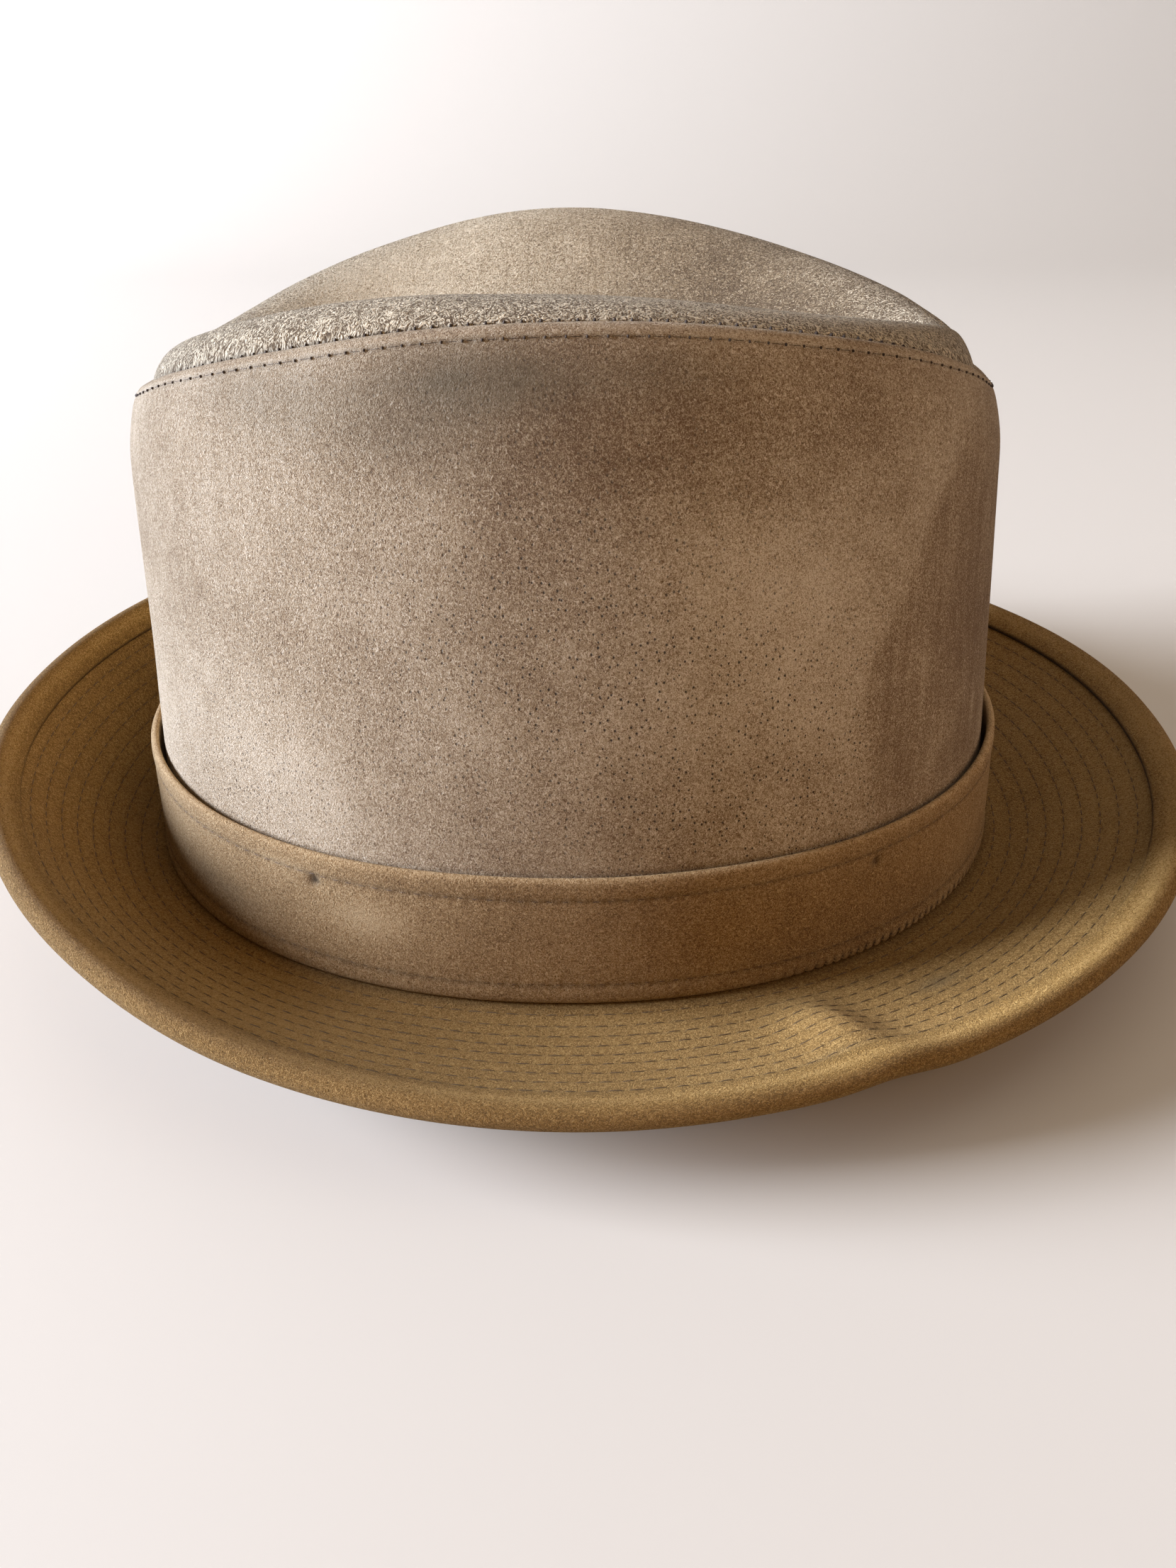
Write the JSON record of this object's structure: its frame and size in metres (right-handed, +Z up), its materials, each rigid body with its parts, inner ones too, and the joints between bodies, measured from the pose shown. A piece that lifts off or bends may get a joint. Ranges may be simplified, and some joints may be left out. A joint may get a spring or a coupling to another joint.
{
  "type": "fedora",
  "caption": "Sewn suede fedora with a centre-dented crown, a flat band and a turned-up, stitched brim with a bound edge.",
  "frame": {"origin": "on the surface that the hat stands on, under the middle of its outline seen from above", "axes": "+X to the front of the hat, +Y to the wearer's left, +Z up"},
  "size_m": [0.2794, 0.2574, 0.1326],
  "materials": {
    "crown_side": "napped pigskin suede, taupe, rubbed and darkened in patches",
    "crown_tip": "coarse fuzzy suede, taupe",
    "hatband": "fine suede, olive tan, with stitched folded edges",
    "brim": "fine suede, olive tan, with rows of stitching",
    "brim_binding": "fine suede strip, olive tan, rolled over the rim"
  },
  "bodies": {
    "root": {"crown_side": "crown_side", "crown_tip": "crown_tip", "hatband": "hatband", "brim": "brim", "brim_binding": "brim_binding"}
  },
  "joints": []
}
